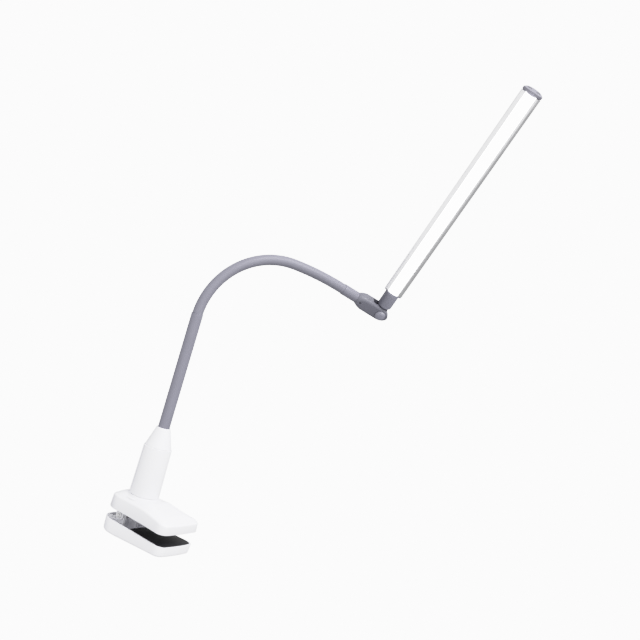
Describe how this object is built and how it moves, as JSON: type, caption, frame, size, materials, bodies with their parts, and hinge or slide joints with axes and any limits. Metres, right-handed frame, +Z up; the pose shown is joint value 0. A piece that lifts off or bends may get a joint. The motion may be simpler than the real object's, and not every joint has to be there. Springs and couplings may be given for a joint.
{
  "type": "clip-on reading lamp",
  "caption": "Reading lamp with a spring clamp, a neck that holds a rechargeable cell, a gooseneck arm and a slim LED bar that tilts and swivels.",
  "frame": {"origin": "centre of the upper jaw's rubber pad, on its lower face, where it rests on a shelf or table edge", "axes": "+Z up along the neck, +X out of the mouth of the clamp, Y along the clamp hinge pin"},
  "size_m": [0.2677, 0.176, 0.4875],
  "materials": {
    "white_plastic": "satin white moulded plastic",
    "grey_plastic": "fine matt moulded plastic",
    "grey_metal": "matt powder coat",
    "grey_hose": "matt silicone sleeve over a steel hose",
    "anodised_aluminium": "satin anodised",
    "opal_plastic": "opal, lit",
    "black_rubber": "matt",
    "zinc_steel": "zinc plated",
    "brass": "plain",
    "nylon": "natural",
    "green_board": "solder mask",
    "white_board": "white solder mask",
    "cell_wrap": "shrink wrap"
  },
  "bodies": {
    "base": {"upper_jaw_shell": "white_plastic", "upper_pad": "black_rubber", "neck_housing": "white_plastic", "neck_screw_1": "zinc_steel", "neck_screw_2": "zinc_steel", "neck_screw_3": "zinc_steel", "neck_cone": "white_plastic", "stem_sleeve": "grey_metal", "stem_washer": "zinc_steel", "stem_nut": "brass", "battery_cell": "cell_wrap", "charge_board": "green_board", "charge_socket": "zinc_steel", "push_switch": "black_rubber", "hinge_pin": "zinc_steel", "pin_clip": "zinc_steel", "jaw_spring": "zinc_steel", "gooseneck_segment_1": "grey_hose"},
    "button": {"power_button": "grey_plastic"},
    "lower_jaw": {"lower_jaw_shell": "white_plastic", "lower_pad": "black_rubber"},
    "link_2": {"gooseneck_segment_2": "grey_hose"},
    "link_3": {"gooseneck_segment_3": "grey_hose"},
    "link_4": {"gooseneck_segment_4": "grey_hose"},
    "link_5": {"gooseneck_segment_5": "grey_hose"},
    "link_6": {"gooseneck_segment_6": "grey_hose"},
    "link_7": {"gooseneck_segment_7": "grey_hose"},
    "link_8": {"gooseneck_segment_8": "grey_hose"},
    "clevis": {"gooseneck_segment_9": "grey_hose", "upper_sleeve": "grey_metal", "clevis_housing": "grey_plastic", "clevis_set_screw": "zinc_steel", "pivot_bolt": "zinc_steel", "pivot_nut": "zinc_steel", "pivot_cap_front": "grey_plastic", "pivot_cap_back": "grey_plastic", "friction_washer_1": "nylon", "friction_washer_2": "nylon"},
    "knuckle": {"knuckle": "grey_plastic", "swivel_screw": "zinc_steel"},
    "head": {"barrel": "grey_plastic", "head_channel": "anodised_aluminium", "led_board": "white_board", "diffuser": "opal_plastic", "end_cap": "grey_plastic", "end_cap_screw_1": "zinc_steel", "end_cap_screw_2": "zinc_steel"}
  },
  "joints": [
    {"name": "jaw_open", "type": "hinge", "parent": "base", "child": "lower_jaw", "pos_m": [-0.04, 0, -0.0046], "axis": [0, 1, 0], "range_deg": [0, 22], "stiffness_Nm_per_rad": 1.2, "springref_deg": -28.65},
    {"name": "button_press", "type": "slide", "parent": "base", "child": "button", "axis": [1, 0, 0], "range_m": [0, 0.0005], "stiffness_N_per_m": 600},
    {"name": "gooseneck_bend_1", "type": "hinge", "parent": "base", "child": "link_2", "pos_m": [-0.0295, 0.00064, 0.20212], "axis": [-0.7869, 0.617, 0], "range_deg": [-22, 14]},
    {"name": "gooseneck_bend_2", "type": "hinge", "parent": "link_2", "child": "link_3", "pos_m": [-0.02552, 0.00571, 0.22277], "axis": [-0.7869, 0.617, 0], "range_deg": [-22, 14]},
    {"name": "gooseneck_side_3", "type": "hinge", "parent": "link_3", "child": "link_4", "pos_m": [-0.01794, 0.01538, 0.24058], "axis": [-0.4493, -0.573, 0.6854], "range_deg": [-20, 20]},
    {"name": "gooseneck_bend_4", "type": "hinge", "parent": "link_4", "child": "link_5", "pos_m": [-0.00743, 0.02878, 0.25392], "axis": [-0.7869, 0.617, 0], "range_deg": [-22, 14]},
    {"name": "gooseneck_bend_5", "type": "hinge", "parent": "link_5", "child": "link_6", "pos_m": [0.00505, 0.0447, 0.2616], "axis": [-0.7869, 0.617, 0], "range_deg": [-22, 14]},
    {"name": "gooseneck_side_6", "type": "hinge", "parent": "link_6", "child": "link_7", "pos_m": [0.01837, 0.06169, 0.26291], "axis": [0.0477, 0.0609, 0.997], "range_deg": [-20, 20]},
    {"name": "gooseneck_bend_7", "type": "hinge", "parent": "link_7", "child": "link_8", "pos_m": [0.03168, 0.07867, 0.26045], "axis": [-0.7869, 0.617, 0], "range_deg": [-22, 14]},
    {"name": "gooseneck_bend_8", "type": "hinge", "parent": "link_8", "child": "clevis", "pos_m": [0.04485, 0.09546, 0.25644], "axis": [-0.7869, 0.617, 0], "range_deg": [-22, 14]},
    {"name": "head_tilt", "type": "hinge", "parent": "clevis", "child": "knuckle", "pos_m": [0.07844, 0.1383, 0.24307], "axis": [0.5579, -0.6128, -0.5597], "range_deg": [-200, 3]},
    {"name": "head_swivel", "type": "hinge", "parent": "knuckle", "child": "head", "pos_m": [0.07875, 0.13863, 0.24303], "axis": [0.4628, -0.3301, 0.8227], "range_deg": [-165, 165]}
  ]
}
